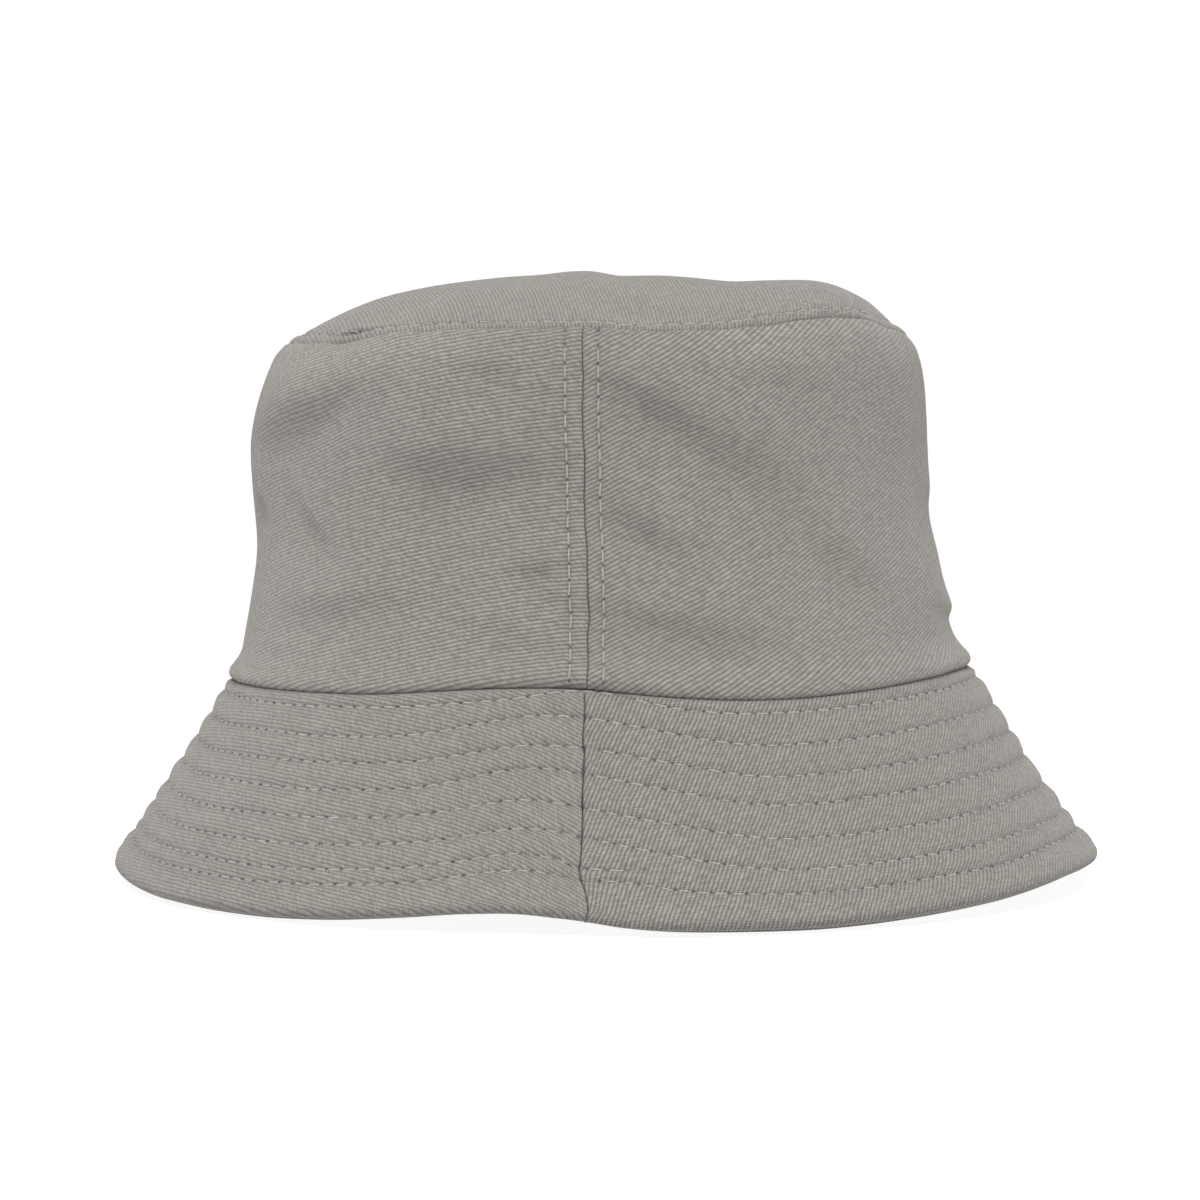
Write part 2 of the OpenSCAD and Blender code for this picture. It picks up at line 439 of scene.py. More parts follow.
def row_distances(a, w):
    """Distance to the nearest row of stitching, and the distance along that row."""
    s = arc(a)
    nearest = np.full(np.broadcast(a, w).shape, 99.0)
    run = np.zeros_like(nearest)
    for place, phase, exists in brim_rows(a):
        d = np.where(exists, np.abs(w - place), 99.0)
        run = np.where(d < nearest, row_run(s, place, phase), run)
        nearest = np.minimum(nearest, d)
    return nearest, run


def brim_knots(a):
    """Places down the brim where the mesh has a line, so that it follows each row of stitching."""
    edges = [row_edge(n, a) for n in ROWS]
    if a.mean() > 0:
        blend = step(arc(a), START_ARC + 25, START_ARC)
        start = mix((edges[0] + edges[1]) / 2, start_edge(a), blend)
        edges = [edges[0], start] + edges[1:]
    join = join_place(a)
    rows = [BRIM_WIDTH - e for e in reversed(edges)]
    return [np.minimum(0.3, join - 0.05), join] + rows + [0 * a + ROLL_START]


# ---- The brim's surface ----

# The allowance inside the crown, and the stretch in which the brim tucks in under it
ALLOWANCE = 6.0
TUCK = 2.0
# Where the cloth begins to roll round the rim, and the roll of the upper and the under layer
ROLL_START = BRIM_WIDTH - 1
EDGE_ROLL = 1.5
UNDER_ROLL = 0.65
# Height of the outer face at the rim, where the rim lies on the floor
RIM_CLEARANCE = 1.75
# Depth of the under layer at the tuck, and how much deeper the cloth turned in at the rim puts it
TUCK_DEPTH = 0.75
TURNED_IN = 1.6
# How far the cloth stands out between the rows, and the under layer's share of that
PUFF = 0.95
UNDER_PUFF = 0.55


def brim_base(a, w):
    """The brim's outer face; w is the distance down from the crown, and is negative inside it."""
    share = np.clip(w, 0, None) / BRIM_WIDTH
    curve = np.sin(math.pi * np.clip(share, 0, 1))
    top = SEAM_Z + seam_lift(a) - 0.2
    s = arc(a)
    sag = (0.5 * uneven(s, 38, w / 30, 10) + 0.25 * uneven(s, 15, w / 20, 11)) * step(w, 3, 25)
    curl = (0.4 + 2.0 * bell(a + 8, 18)) * bell(BRIM_WIDTH - np.maximum(w, 0), 4.5)
    r = mix(BASE_R + 0.2, RIM_R, share) - 0.95 * curve + sag - curl - 1.5 * step(w, 3, 20) * bell(s - 1, 9)
    z = mix(top, rim_lift(a) + RIM_CLEARANCE, share)
    tucked = np.clip(-w / TUCK, 0, 1)
    up = np.clip(-w - TUCK, 0, None)
    r = np.where(w < 0, mix(BASE_R + 0.2, crown_radius(a, up / HEIGHT) - 1.5, tucked), r)
    shift = mix(-0.15 + 1.5 * share**2, CROWN_SHIFT, bell(np.maximum(w, 0), 5))
    shift = shift - 1.0 * curve * bell(s, 16) + seam_wander(s, w)
    shift = shift - (bell(w - 48.5, 4.5) + bell(w - 61.5, 1.8)) * bell(s, 6)
    return oval(r, a, z + 0.2 * tucked + up, shift)


def brim_relief(a, w):
    """Puffed cloth between the rows, the side seams and the thick edge."""
    near, run = row_distances(a, w)
    s, edge = arc(a), BRIM_WIDTH - w
    puff = PUFF * (1 - np.exp(-((near / 1.4) ** 1.3)))
    puff = puff * (1 + 0.25 * uneven(s, 9, w / 3, 13))
    puckers = 0.16 * noise(run / 2.2, w / 7, 14) * bell(near, 1.8)
    d = np.abs(seam_distance(a, BASE_R * (1 + 0.33 * w / BRIM_WIDTH)))
    seam = -0.65 * bell(d, 0.26) + 0.35 * step(d, 8, 5)
    thick = 0.5 * step(edge, 8, 5)
    return (puff + puckers + thick) * step(w, 0, 2) + seam * step(w, -1, 2)


def under_depth(w):
    """Depth of the under-brim's face below the upper one, thicker where the edge is turned in."""
    body = mix(TUCK_DEPTH, BRIM_DEPTH, step(w, -TUCK, TUCK))
    return body + TURNED_IN * step(w, BRIM_WIDTH - 9, BRIM_WIDTH - 3)


# ---- Flat patterns: where each point of a panel lay in the cloth, in metres, x to the right and y up ----

CROWN_BEND = 0.42
BRIM_BEND = 1.52


def fanned(a, radius, bend):
    """Pattern coordinates of a panel that is a piece of a ring, centred on its middle."""
    s = arc(a)
    turn = (s - np.where(s < 0, -HALF / 2, HALF / 2)) / HALF * bend
    return np.stack([radius * np.sin(turn), -radius * np.cos(turn)], axis=-1) * MM


def crown_pattern(a, t):
    return fanned(a, HALF / CROWN_BEND - t * HEIGHT, CROWN_BEND)


def brim_pattern(a, w):
    return fanned(a, HALF / BRIM_BEND + w, BRIM_BEND)


def disc_pattern(a, r):
    a = np.radians(a)
    return np.stack(np.broadcast_arrays(r * np.sin(a), -r * NARROW * np.cos(a)), axis=-1) * MM


def stitch_uv(distance, run, edge_shade=0.0):
    """Distance along a row and from it, in metres, for the needle holes. Where the cloth is 5 mm or
    more from any row, edge_shade says how far it is into the painted shade at the brim's rolled edge."""
    return np.stack(np.broadcast_arrays(run, np.minimum(np.abs(distance), 5) + edge_shade), axis=-1) * MM


# ---- Meshes ----


def make_object(name, verts, faces, layers, material, node, body="hat", slot="twill"):
    """A smooth mesh piece that stands for a CAD node, with one UV pair per face corner in a layer."""
    mesh = bpy.data.meshes.new(name)
    mesh.from_pydata((np.asarray(verts) * MM).tolist(), [], faces)
    mesh.polygons.foreach_set("use_smooth", np.ones(len(mesh.polygons), dtype=bool))
    for layer, values in layers.items():
        data = mesh.uv_layers.new(name=layer)
        data.data.foreach_set("uv", np.asarray(values, dtype=np.float32).ravel())
    mesh.materials.append(material)
    obj = bpy.data.objects.new(name, mesh)
    bpy.context.scene.collection.objects.link(obj)
    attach(obj, body)
    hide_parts(node)
    return obj


def grid_faces(rows, cols, count):
    """Quads of a grid whose column numbers wrap at count, and the same quads in layer numbers."""
    r, c = np.meshgrid(np.arange(rows - 1), np.arange(cols - 1), indexing="ij")
    corners = [(r, c), (r, c + 1), (r + 1, c + 1), (r + 1, c)]
    points = np.stack([i * count + j % count for i, j in corners], axis=-1)
    layer = np.stack([i * cols + j for i, j in corners], axis=-1)
    return points.reshape(-1, 4), layer.reshape(-1, 4)


def edge_lines(rows, cols, count, closed, pole):
    """The open edges of a grid, as point numbers and layer numbers, with the way each one faces."""
    line = np.arange(cols)
    edges = [(line % count, line, False)]
    if not pole:
        edges.append(((rows - 1) * count + line % count, (rows - 1) * cols + line, True))
    if not closed:
        line = np.arange(rows)
        edges.append((line * count, line * cols, True))
        edges.append((line * count + cols - 1, line * cols + cols - 1, False))
    return edges


def encloses(verts, faces):
    """The volume that quads enclose, negative if they face inwards."""
    a, b, c, d = (verts[faces[:, i]] for i in range(4))
    return (a * np.cross(b, c)).sum() + (a * np.cross(c, d)).sum()


def merge_pole(mesh):
    """Joins the points of a last row that are all in one place."""
    edit = bmesh.new()
    edit.from_mesh(mesh)
    bmesh.ops.remove_doubles(edit, verts=edit.verts, dist=1e-6)
    edit.to_mesh(mesh)
    edit.free()


def sheet_mesh(node, outer, inner, layers, material, closed=False, pole=False, **facts):
    """A closed sheet between an outer and an inner grid of points. Its layers have one more column
    than the points where the sheet goes all the way round."""
    rows, count = outer.shape[:2]
    cols = count + 1 if closed else count
    verts = np.concatenate([outer.reshape(-1, 3), inner.reshape(-1, 3)])
    back = rows * count
    face, uv = grid_faces(rows, cols, count)
    faces, uvs = [face, face[:, ::-1] + back], [uv, uv[:, ::-1]]
    for points, layer, flip in edge_lines(rows, cols, count, closed, pole):
        quad = np.stack([points[:-1], points[:-1] + back, points[1:] + back, points[1:]], axis=-1)
        corner = np.stack([layer[:-1], layer[:-1], layer[1:], layer[1:]], axis=-1)
        faces.append(quad[:, ::-1] if flip else quad)
        uvs.append(corner[:, ::-1] if flip else corner)
    faces, uvs = np.concatenate(faces), np.concatenate(uvs)
    if encloses(verts, faces) < 0:
        faces, uvs = faces[:, ::-1], uvs[:, ::-1]
    values = {k: v.reshape(-1, 2)[uvs.ravel()] for k, v in layers.items()}
    piece = make_object(f"{node}_cloth", verts, faces.tolist(), values, material, node, **facts)
    if pole:
        merge_pole(piece.data)
    return piece


def spread(count, crowd=0.7):
    """Positions from 0 to 1, closer together towards both ends."""
    u = np.linspace(0, 1, count)
    return u - crowd * np.sin(2 * math.pi * u) / (2 * math.pi)


def half_angles(side, count):
    """Columns of angles across the front (side 1) or back (side -1) half of the hat."""
    s = spread(count) * HALF
    return angle_at(s) if side > 0 else angle_at(s - HALF)


# ---- Threads ----

HOLE_GAP = 0.4
STATIONS = spread(9, 0.6)


def cut_stitches(points, normals, run, pitch):
    """The stretch of a path under each stitch. Needle holes are at whole pitches of the run."""
    if run[-1] < run[0]:
        points, normals, run = points[::-1], normals[::-1], run[::-1]
    first, last = math.ceil(run[0] / pitch), math.floor(run[-1] / pitch)
    holes = np.arange(first, last)[:, None] * pitch
    at = holes + HOLE_GAP / 2 + STATIONS[None, :] * (pitch - HOLE_GAP)

    def pick(values):
        return np.stack([np.interp(at, run, values[:, i]) for i in range(3)], axis=-1)

    return pick(points), unit(pick(normals))


def stitch_tubes(p, n, radius, rng, sides, rise, sink=0.30):
    """A tube for each stitch, arched over the cloth and diving into it at both ends."""
    arch = np.sin(math.pi * STATIONS) ** 0.45
    height = (rise + rng.normal(0, 0.05, (len(p), 1))) * arch[None, :] - sink
    across = np.cross(unit(np.gradient(p, axis=1)), n)
    slant = (0.12 + rng.normal(0, 0.1, (len(p), 1, 1))) * (STATIONS - 0.5)[None, :, None]
    centre = p + height[..., None] * n + across * slant
    turn = np.linspace(0, 2 * math.pi, sides, endpoint=False)[None, None, :, None]
    thick = radius * (0.7 + 0.3 * np.sin(math.pi * STATIONS) ** 0.5)[None, :, None, None]
    spoke = np.cos(turn) * across[:, :, None] + 0.85 * np.sin(turn) * n[:, :, None]
    return centre[:, :, None] + thick * spoke


def tube_faces(count, sides):
    """Faces of a number of capped tubes, one after another."""
    quad, _ = grid_faces(len(STATIONS), sides + 1, sides)
    ends = np.array([np.arange(sides)[::-1], np.arange(sides) + (len(STATIONS) - 1) * sides])
    first = np.arange(count)[:, None, None] * len(STATIONS) * sides
    return (quad[None] + first).reshape(-1, 4).tolist() + (ends[None] + first).reshape(-1, sides).tolist()


def thread_piece(node, paths, pitch=PITCH, radius=0.2, seed=20, sides=6, rise=0.46):
    """All the stitches of a CAD thread node, as one piece."""
    rng = np.random.default_rng(seed)
    tubes = [stitch_tubes(*cut_stitches(*path, pitch), radius, rng, sides, rise) for path in paths]
    verts = np.concatenate([t.reshape(-1, 3) for t in tubes])
    faces = tube_faces(sum(len(t) for t in tubes), sides)
    return make_object(f"{node}_stitches", verts, faces, {}, sewing_thread, node, slot="thread")


# ---- Materials ----


class Shader:
    """A node material, with short calls for the nodes used here."""

    def __init__(self, name):
        self.mat = bpy.data.materials.new(name)
        self.mat.use_nodes = True
        self.nodes, self.links = self.mat.node_tree.nodes, self.mat.node_tree.links
        self.shader = self.nodes["Principled BSDF"]

    def put(self, socket, value):
        if isinstance(value, bpy.types.NodeSocket):
            self.links.new(value, socket)
        elif value is not None:
            socket.default_value = value

    def math(self, operation, a, b=None, c=None):
        node = self.nodes.new("ShaderNodeMath")
        node.operation = operation
        for socket, value in zip(node.inputs, (a, b, c)):
            self.put(socket, value)
        return node.outputs[0]

    def times(self, value, *factors):
        for factor in factors:
            value = self.math("MULTIPLY", value, factor)
        return value

    def varied(self, value, span):
        """A factor from 1 - span/2 to 1 + span/2, from a value from 0 to 1."""
        return self.math("MULTIPLY_ADD", value, span, 1 - span / 2)

    def uv(self, layer):
        node = self.nodes.new("ShaderNodeUVMap")
        node.uv_map = layer
        return *self.split(node.outputs[0])[:2], node.outputs[0]

    def place(self):
        return self.nodes.new("ShaderNodeTexCoord").outputs["Object"]

    def split(self, vector):
        node = self.nodes.new("ShaderNodeSeparateXYZ")
        self.links.new(vector, node.inputs[0])
        return node.outputs

    def vector(self, x, y, z=0.0):
        node = self.nodes.new("ShaderNodeCombineXYZ")
        for socket, value in zip(node.inputs, (x, y, z)):
            self.put(socket, value)
        return node.outputs[0]

    def noise(self, vector, scale, detail=2.0, roughness=0.5):
        node = self.nodes.new("ShaderNodeTexNoise")
        self.put(node.inputs["Vector"], vector)
        node.inputs["Scale"].default_value = scale
        node.inputs["Detail"].default_value = detail
        node.inputs["Roughness"].default_value = roughness
        return node.outputs["Fac"]

    def random(self, vector):
        node = self.nodes.new("ShaderNodeTexWhiteNoise")
        self.put(node.inputs["Vector"], vector)
        return node.outputs["Value"]

    def ramp(self, value, low, high, to_low=0.0, to_high=1.0):
        node = self.nodes.new("ShaderNodeMapRange")
        node.interpolation_type = "SMOOTHSTEP"
        for socket, number in zip(node.inputs, (value, low, high, to_low, to_high)):
            self.put(socket, number)
        return node.outputs[0]

    def tinted(self, colour, light):
        node = self.nodes.new("ShaderNodeVectorMath")
        node.operation = "SCALE"
        node.inputs[0].default_value = colour
        self.links.new(light, node.inputs["Scale"])
        return node.outputs[0]

    def finish(self, colour, height, depth, rough=0.92, sheen=0.25):
        bump = self.nodes.new("ShaderNodeBump")
        bump.inputs["Strength"].default_value = 1.0
        bump.inputs["Distance"].default_value = depth * MM
        self.links.new(height, bump.inputs["Height"])
        self.links.new(bump.outputs[0], self.shader.inputs["Normal"])
        self.links.new(colour, self.shader.inputs["Base Color"])
        self.shader.inputs["Roughness"].default_value = rough
        self.shader.inputs["Specular IOR Level"].default_value = 0.18
        self.shader.inputs["Sheen Weight"].default_value = sheen
        self.shader.inputs["Sheen Roughness"].default_value = 0.6
        return self.mat


TAUPE = (0.350, 0.323, 0.294)
YARN = 0.35


def twill_floats(m, x, y, place, rib_angle):
    """3/1 twill: each warp yarn floats over three picks and steps one pick from the yarn beside it,
    so that ribs run at rib_angle. Returns the height of the cloth and two coordinates in yarns."""
    warp = math.radians(rib_angle - 45)
    cos_w, sin_w = math.cos(warp) / (YARN * MM), math.sin(warp) / (YARN * MM)
    wobble = m.math("SUBTRACT", m.noise(place, 160, 2), 0.5)
    along = m.math("ADD", m.times(x, cos_w), m.times(y, sin_w))
    along = m.math("MULTIPLY_ADD", wobble, 1.5, along)
    across = m.math("SUBTRACT", m.times(y, cos_w), m.times(x, sin_w))
    across = m.math("MULTIPLY_ADD", wobble, -0.9, across)
    end = m.math("FLOOR", across)
    beside = m.math("SUBTRACT", m.math("FRACT", across), 0.5)
    repeat = m.times(m.math("SUBTRACT", along, end), 0.25)
    phase = m.math("MINIMUM", m.math("FRACT", repeat), 0.8)
    arch = m.math("MAXIMUM", m.math("SINE", m.times(phase, math.pi / 0.8)), 0.0)
    arch = m.math("POWER", arch, 0.7)
    round_across = m.math("COSINE", m.times(beside, math.pi * 0.9))
    height = m.times(arch, m.math("MULTIPLY_ADD", round_across, 0.6, 0.4))
    each_float = m.random(m.vector(end, m.math("FLOOR", repeat)))
    slub = m.noise(m.vector(m.times(along, 0.05), across), 1.0, 2)
    return height, each_float, slub


def needle_marks(m, pitch):
    """Painted shade and depth of the needle holes along a row, painted shade along the line between
    them, and painted shade on the brim's rolled edge, where it turns under."""
    run, off, _ = m.uv("stitch")
    count = m.math("MULTIPLY_ADD", run, 1 / (pitch * MM), 0.5)
    hole = m.times(m.math("SUBTRACT", m.math("FRACT", count), 0.5), pitch * 0.6)
    off = m.times(off, 1 / MM)
    reach = m.math("SQRT", m.math("ADD", m.times(hole, hole), m.times(off, off)))
    pit = m.ramp(reach, 0.08, 0.46, 1.0, 0.0)
    pit = m.times(pit, m.math("MULTIPLY_ADD", m.random(m.vector(m.math("FLOOR", count), 0.0)), 0.6, 0.4))
    # Painted shade in each needle hole, which the bump also dents.
    marks = m.math("MULTIPLY_ADD", pit, -0.7, 1.0)
    # Painted shade in the groove along each row of stitching.
    groove_shade = m.ramp(off, 0.1, 1.3, 0.93, 1.0)
    # Painted shade on the brim's rolled edge, darkest round the underside of the roll.
    painted_edge_shade = m.ramp(off, 5.05, 7.4, 1.0, 0.52)
    return m.times(marks, groove_shade, painted_edge_shade), m.times(pit, -2.0)


def painted_top_highlight(m, x, y):
    """Painted highlight on the crown's cloth just below the top seam, away from the side seams."""
    radius = m.math("SQRT", m.math("ADD", m.times(x, x), m.times(y, y)))
    top_radius = (HALF / CROWN_BEND - HEIGHT) * MM
    band = m.ramp(m.math("SUBTRACT", radius, top_radius), 0.005, 0.017, 0.115, 0.0)
    return m.math("ADD", m.times(band, m.ramp(m.math("ABSOLUTE", x), 0.085, 0.105, 1.0, 0.1)), 1.0)


def twill_material(
    name, rib_angle, colour=TAUPE, contrast=1.0, pitch=PITCH, middle=0.72, side=1.0, crown=False
):
    """Twill with needle marks a pitch apart. middle and side are how strong its ribs are in a panel's
    middle and near its sides, and a crown panel has a painted highlight just below its top seam."""
    m = Shader(name)
    x, y, place = m.uv("cloth")
    height, each_float, slub = twill_floats(m, x, y, place, rib_angle)
    crisp = m.ramp(m.math("ABSOLUTE", x), 0.03, 0.10, middle, side)
    fibre = m.noise(place, 2900, 3, 0.75)
    wale = m.times(m.math("MULTIPLY_ADD", height, 0.72 * contrast, -0.46 * contrast), crisp)
    light = m.math("ADD", wale, 1.0)
    light = m.times(light, m.varied(each_float, 0.36), m.varied(slub, 0.08), m.varied(fibre, 0.75))
    light = m.times(light, m.varied(m.noise(place, 55, 3), 0.08), m.varied(m.noise(place, 520, 2), 0.05))
    lint = m.ramp(m.noise(place, 1900, 1), 0.74, 0.80, 1.0, 1.22)
    light = m.times(light, lint)
    # Painted highlight on the crown panels, just below the top seam.
    if crown:
        light = m.times(light, painted_top_highlight(m, x, y))
    height = m.math("MULTIPLY_ADD", fibre, 0.35, height)
    if pitch:
        marks, pits = needle_marks(m, pitch)
        light = m.times(light, marks)
        height = m.math("ADD", height, pits)
    return m.finish(m.tinted(colour, light), height, 0.17)


def plain_material(name, colour, yarn=0.4, depth=0.1, rough=0.9, fleck=0.2):
    """Plain weave: yarns over and under each other."""
    m = Shader(name)
    x, y, place = m.uv("cloth")
    u, v = m.times(x, 1 / (yarn * MM)), m.times(y, 1 / (yarn * MM))
    pick = m.math("ADD", m.math("FLOOR", u), m.math("FLOOR", v))
    pick = m.math("ABSOLUTE", m.math("MODULO", pick, 2.0))
    warp = m.times(pick, m.math("SINE", m.times(m.math("FRACT", u), math.pi)))
    weft = m.math("SINE", m.times(m.math("FRACT", v), math.pi))
    weft = m.times(m.math("SUBTRACT", 1.0, pick), weft)
    height = m.math("ADD", warp, weft)
    light = m.math("MULTIPLY_ADD", height, 0.22, 0.84)
    light = m.times(light, m.varied(m.noise(place, 4000, 2, 0.6), fleck), m.varied(m.noise(place, 70), 0.1))
    return m.finish(m.tinted(colour, light), height, depth, rough)


def thread_material(name, colour):
    """Spun thread: fine slanting plies and loose fibres."""
    m = Shader(name)
    place = m.place()
    x, y, z = m.split(place)
    turn = m.math("ADD", m.math("ADD", x, y), z)
    ply = m.math("SINE", m.times(turn, 2 * math.pi / (0.42 * MM)))
    light = m.math("MULTIPLY_ADD", ply, 0.09, 0.94)
    light = m.times(light, m.varied(m.noise(place, 7000), 0.3))
    return m.finish(m.tinted(colour, light), ply, 0.05, rough=0.7, sheen=0.3)


def floor_material(name):
    m = Shader(name)
    grain = m.noise(m.place(), 60, 3)
    m.shader.inputs["Emission Color"].default_value = (1, 1, 1, 1)
    m.shader.inputs["Emission Strength"].default_value = 0.88
    return m.finish(m.tinted((0.35, 0.35, 0.35), m.varied(grain, 0.04)), grain, 0.02, rough=0.8, sheen=0.0)


def dimmed(factor):
    return tuple(c * factor for c in TAUPE)


SIDES = {"front": 1, "back": -1}
CROWN_TWILL = {
    half: twill_material(f"twill_crown_{half}", 18, pitch=SIDE_PITCH, crown=True) for half in SIDES
}
# The brim's halves use the taupe darkened a little, the back half more: painted shade.
BRIM_TWILL = {
    "front": twill_material("twill_brim_front", 27, dimmed(0.985)),
    "back": twill_material("twill_brim_back", 16, dimmed(0.97), contrast=0.8),
}
# The top panel uses the taupe lightened a little: painted light.
top_twill = twill_material("twill_top", 100, dimmed(1.015), contrast=0.75, middle=1.0, side=0.4)
under_twill = twill_material("twill_under", 30, dimmed(0.97))
band_twill = twill_material("twill_sweatband", 45, dimmed(1.03), contrast=0.8, pitch=None)
canvas = plain_material("interlining_canvas", (0.62, 0.60, 0.55), yarn=0.5)
tape_weave = plain_material("seam_tape_weave", (0.30, 0.28, 0.255), yarn=0.38)
label_satin = plain_material(
    "label_satin", (0.80, 0.79, 0.76), yarn=0.16, depth=0.03, rough=0.45, fleck=0.06
)
sewing_thread = thread_material("sewing_thread", (0.64, 0.61, 0.565))

# ---- Crown ----

COLUMNS = 400


def crown_points(a, t, depth=0.0):
    return raised(*surface(crown_base, a, t), crown_relief(a, t) - depth)


def crown_panel(half, side):
    low = np.array([0, 0.2, 0.4, 0.7, 1.1, 1.6, 2.3])
    high = HEIGHT - np.array([2.3, 1.7, 1.2, 0.8, 0.5, 0.25, 0])
    rows = np.concatenate([low, np.linspace(3, HEIGHT - 3, 86), high]) / HEIGHT
    a, t = np.meshgrid(half_angles(side, COLUMNS), rows)
    d = side_row_distance(seam_distance(a, crown_radius(a, t)))
    layers = {"cloth": crown_pattern(a, t), "stitch": stitch_uv(d, side_row_run(t))}
    node = f"crown_panel_{half}"
    return sheet_mesh(node, crown_points(a, t), crown_points(a, t, CLOTH), layers, CROWN_TWILL[half])


# ---- Top panel, with its seam allowance turned down inside ----

TURNED_DEPTH = 1.3


def top_points(a, d, depth=0.0):
    return raised(*surface(top_base, a, d), top_relief(a, d) - depth)


def skirt_points(a, down, depth):
    return raised(*surface(crown_base, a, 1 - down / HEIGHT), -depth)


def with_pole(rows):
    """Adds a last row with all its points in one place, the middle of the row before it."""
    return np.concatenate([rows, np.broadcast_to(rows[-1].mean(axis=0), rows[-1:].shape)])


def make_top_panel():
    around = np.linspace(-180, 180, (480) + 1)
    middle = 6 + (TOP_R - 6.4) * np.linspace(0, 1, 60) ** 0.9
    inward = np.concatenate([np.linspace(0, 6, 16)[:-1], middle])
    a, d = np.meshgrid(around, inward)
    a_down, down = np.meshgrid(around, np.linspace(7, 0.8, 6))
    outer = with_pole(top_points(a, d)[:, :-1])
    inner = with_pole(top_points(a, d, CLOTH)[:, :-1])
    skirt = skirt_points(a_down, down, TURNED_DEPTH)[:, :-1]
    skirt_inner = skirt_points(a_down, down, TURNED_DEPTH + CLOTH)[:, :-1]
    pattern = [disc_pattern(a_down, TOP_R + down), with_pole(disc_pattern(a, TOP_R - d))]
    marks = stitch_uv(d - top_row(a), arc(a) * TOP_R / BASE_R)
    marks = np.concatenate([stitch_uv(0 * a_down + 5, 0), marks, marks[-1:]])
    return sheet_mesh(
        "top_panel",
        np.concatenate([skirt, outer]),
        np.concatenate([skirt_inner, inner]),
        {"cloth": np.concatenate(pattern), "stitch": marks},
        top_twill,
        closed=True,
        pole=True,
    )


# ---- Brim ----


def brim_points(a, w, depth=0.0, relief=1.0):
    return raised(*surface(brim_base, a, w, side=-1), relief * brim_relief(a, w) - depth)


def rolled(a, depth, radius, turn, way):
    """Rows of points that roll round the rim from the end of a face, towards the other face."""
    flat = np.full_like(a, ROLL_START)
    point, normal = surface(brim_base, a, flat, side=-1)
    outward = unit(brim_base(a, flat + 0.5) - brim_base(a, flat - 0.5))
    start = raised(point, normal, brim_relief(a, flat) * (way > 0) - depth)
    out, back = radius * np.sin(turn), way * radius * (1 - np.cos(turn))
    return raised(raised(start, outward, out), normal, -back)


def brim_grid(side, columns, per_band):
    """Angles and places down the brim, in rows that follow the stitching."""
    a = half_angles(side, columns)
    knots = brim_knots(a)
    share = spread(per_band + 1, 0.5)[1:]
    rows = [np.full_like(a, w) for w in (-2 - ALLOWANCE, -5, -3, -2, -1.4, -0.8, -0.3)] + [knots[0]]
    for above, below in zip(knots, knots[1:]):
        rows += [mix(above, below, k) for k in share]
    w = np.stack(rows)
    return np.broadcast_to(a, w.shape), w


ROLL_TURNS = np.radians(np.linspace(18, 158, 9))


def brim_panel(node, side, columns, per_band, face, back, roll, material, slot):
    """One side of the brim's cloth: a face, its back, and the roll at the rim."""
    a, w = brim_grid(side, columns, per_band)
    a_roll, turn = np.meshgrid(a[0], ROLL_TURNS)
    near, run = row_distances(a, w)
    # Each row's third value is 0 until 3 mm from the rim, rises to 1 at the rim and on round the roll: how
    # deep it is into the painted edge shade.
    marks = [stitch_uv(near, run, step(w, BRIM_WIDTH - 3, BRIM_WIDTH - 0.8)), stitch_uv(5, 0, 1 + turn)]
    pattern = [brim_pattern(a, w), brim_pattern(a_roll, w[-1:] + turn)]
    return sheet_mesh(
        node,
        np.concatenate([face(a, w), roll(a_roll, turn, 0.0)]),
        np.concatenate([back(a, w), roll(a_roll, turn, CLOTH)]),
        {"cloth": np.concatenate(pattern), "stitch": np.concatenate(marks)},
        material,
        slot=slot,
    )


def brim_upper(half, side):
    return brim_panel(
        f"brim_upper_{half}", side, COLUMNS, 10,
        face=brim_points,
        back=lambda a, w: brim_points(a, w, CLOTH),
        roll=lambda a, turn, in_by: rolled(a, in_by, EDGE_ROLL - 0.8 * in_by, turn, 1),
        material=BRIM_TWILL[half], slot="twill",
    )


def under_face(a, w):
    puff = UNDER_PUFF * brim_relief(a, w) * (w > 0)
    return brim_points(a, w, under_depth(w) + puff, relief=0.0)


def brim_under(half, side):
    end_depth = float(under_depth(np.array(ROLL_START))) + UNDER_PUFF * 0.9

    def roll(a, turn, in_by):
        return rolled(a, end_depth - in_by, UNDER_ROLL - 0.8 * in_by, turn, -1)

    return brim_panel(
        f"brim_under_{half}", side, COLUMNS * 3 // 4, 8,
        face=under_face,
        back=lambda a, w: brim_points(a, w, under_depth(w) - CLOTH, relief=0.0),
        roll=roll, material=under_twill, slot="twill_under",
    )


def brim_interlining(half, side):
    a, w = np.meshgrid(half_angles(side, 120), np.linspace(1.5, BRIM_WIDTH - 5, 30))
    return sheet_mesh(
        f"brim_interlining_{half}",
        brim_points(a, w, CLOTH + 0.15, relief=0.0),
        brim_points(a, w, BRIM_DEPTH - CLOTH - 0.15, relief=0.0),
        {"cloth": brim_pattern(a, w)},
        canvas,
        slot="interlining",
    )


# ---- Stitching ----

SEAMS = {"right": 0.0, "left": 180.0}
SIDE_TAPE_DEPTH = 0.8
SIDE_TAPE_BACK = 1.35


def along_brim(first, last, place, phase, under=False):
    """A path along the brim between two arcs, on its upper face or under it."""
    s = np.linspace(first, last, max(int(abs(last - first)), 8))
    a = angle_at(s)
    w = place(a)
    point, normal = surface(brim_base, a, w, side=-1)
    run = row_run(s, w, phase)
    if under:
        depth = under_depth(w) + UNDER_PUFF * brim_relief(a, w)
        return raised(point, normal, -depth), -normal, run
    return raised(point, normal, brim_relief(a, w)), normal, run


